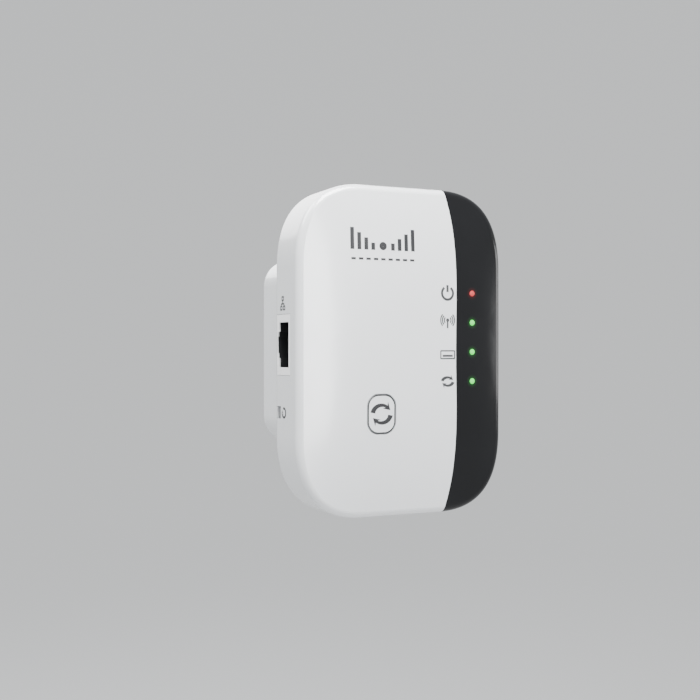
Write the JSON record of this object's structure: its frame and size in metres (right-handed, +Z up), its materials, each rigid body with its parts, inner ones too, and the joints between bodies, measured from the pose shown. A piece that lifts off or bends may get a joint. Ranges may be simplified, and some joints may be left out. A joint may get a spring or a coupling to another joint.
{
  "type": "wifi range extender",
  "caption": "Wall-plug wireless range extender with a white rounded casing, black indicator panel, side network socket and a plug head that pulls off.",
  "frame": {"origin": "middle of the plug nose's end face, which seats against the wall socket", "axes": "+Y along the two plug pins into the wall socket, +Z up, the front cover faces -Y"},
  "size_m": [0.0616, 0.077, 0.088],
  "materials": {
    "casing_white": "smooth semi-gloss white",
    "panel_black": "high-gloss black",
    "jack_white": "smooth bright white",
    "jack_black": "satin black",
    "button_grey": "satin light grey",
    "light_red": "clear rod, lit red",
    "light_green": "clear rod, lit green",
    "led_body": "cast resin on white",
    "label_paper": "satin film",
    "switch_black": "matte",
    "gold_contact": "gold plated, polished",
    "nickel_pin": "nickel plated, polished",
    "sleeve_white": "satin white",
    "board_green": "solder mask",
    "board_tan": "phenolic",
    "chip_black": "moulded epoxy",
    "tin_plate": "tin plated",
    "screw_steel": "zinc plated",
    "pad_grey": "soft silicone",
    "can_aluminium": "sleeved can",
    "ferrite": "sintered ferrite",
    "bobbin_tape": "winding tape",
    "choke_green": "coated",
    "disc_blue": "dipped ceramic",
    "resistor_body": "coated",
    "cable_black": "thin jacket",
    "sheet_clear": "insulating film"
  },
  "bodies": {
    "housing": {"antenna_connectors": "gold_contact", "board_header": "switch_black", "bridge_rectifier": "chip_black", "crystal": "tin_plate", "dock_pins": "nickel_pin", "filter_capacitor": "can_aluminium", "flash_chip": "chip_black", "front_cover": "casing_white", "fuse_resistor": "resistor_body", "housing_screws": "screw_steel", "input_choke": "choke_green", "insulating_sheet": "sheet_clear", "jack_bezel": "jack_white", "lan_contacts": "gold_contact", "lan_jack": "jack_black", "lan_light": "led_body", "lan_transformer": "chip_black", "light_pipe_lan": "light_green", "light_pipe_power": "light_red", "light_pipe_signal": "light_green", "light_pipe_sync": "light_green", "lower_antenna": "board_green", "lower_antenna_lead": "cable_black", "main_board": "board_green", "main_board_screws": "screw_steel", "memory_chip": "chip_black", "output_capacitor": "can_aluminium", "output_diode": "chip_black", "pair_switch": "switch_black", "power_board": "board_tan", "power_board_screws": "screw_steel", "power_controller": "chip_black", "power_light": "led_body", "primary_capacitors": "can_aluminium", "processor": "chip_black", "rating_label": "label_paper", "rear_housing": "casing_white", "regulator_inductor": "ferrite", "reset_switch": "switch_black", "safety_capacitor": "disc_blue", "shield_can": "tin_plate", "side_panel": "panel_black", "signal_light": "led_body", "sync_light": "led_body", "thermal_pad": "pad_grey", "transformer_bobbin": "bobbin_tape", "transformer_core": "ferrite", "upper_antenna": "board_green", "upper_antenna_lead": "cable_black"},
    "pair_button": {"pair_button": "casing_white"},
    "pair_plunger": {"pair_switch_plunger": "switch_black"},
    "reset_button": {"reset_button": "button_grey"},
    "reset_plunger": {"reset_switch_plunger": "switch_black"},
    "plug": {"plug_head": "casing_white", "plug_pins": "nickel_pin", "pin_sleeves": "sleeve_white"}
  },
  "joints": [
    {"name": "pair_press", "type": "slide", "parent": "housing", "child": "pair_button", "axis": [0, 1, 0], "range_m": [0, 0.0005], "stiffness_N_per_m": 3000},
    {"name": "pair_switch_press", "type": "slide", "parent": "housing", "child": "pair_plunger", "axis": [0, 1, 0], "range_m": [0, 0.0005]},
    {"name": "reset_press", "type": "slide", "parent": "housing", "child": "reset_button", "axis": [1, 0, 0], "range_m": [0, 0.0005], "stiffness_N_per_m": 3000},
    {"name": "reset_switch_press", "type": "slide", "parent": "housing", "child": "reset_plunger", "axis": [1, 0, 0], "range_m": [0, 0.0005]},
    {"name": "plug_release", "type": "slide", "parent": "housing", "child": "plug", "axis": [0, 1, 0], "range_m": [0, 0.03]}
  ],
  "couplings": [
    {"joint": "pair_switch_press", "follows": "pair_press", "ratio": 1},
    {"joint": "reset_switch_press", "follows": "reset_press", "ratio": 1}
  ]
}
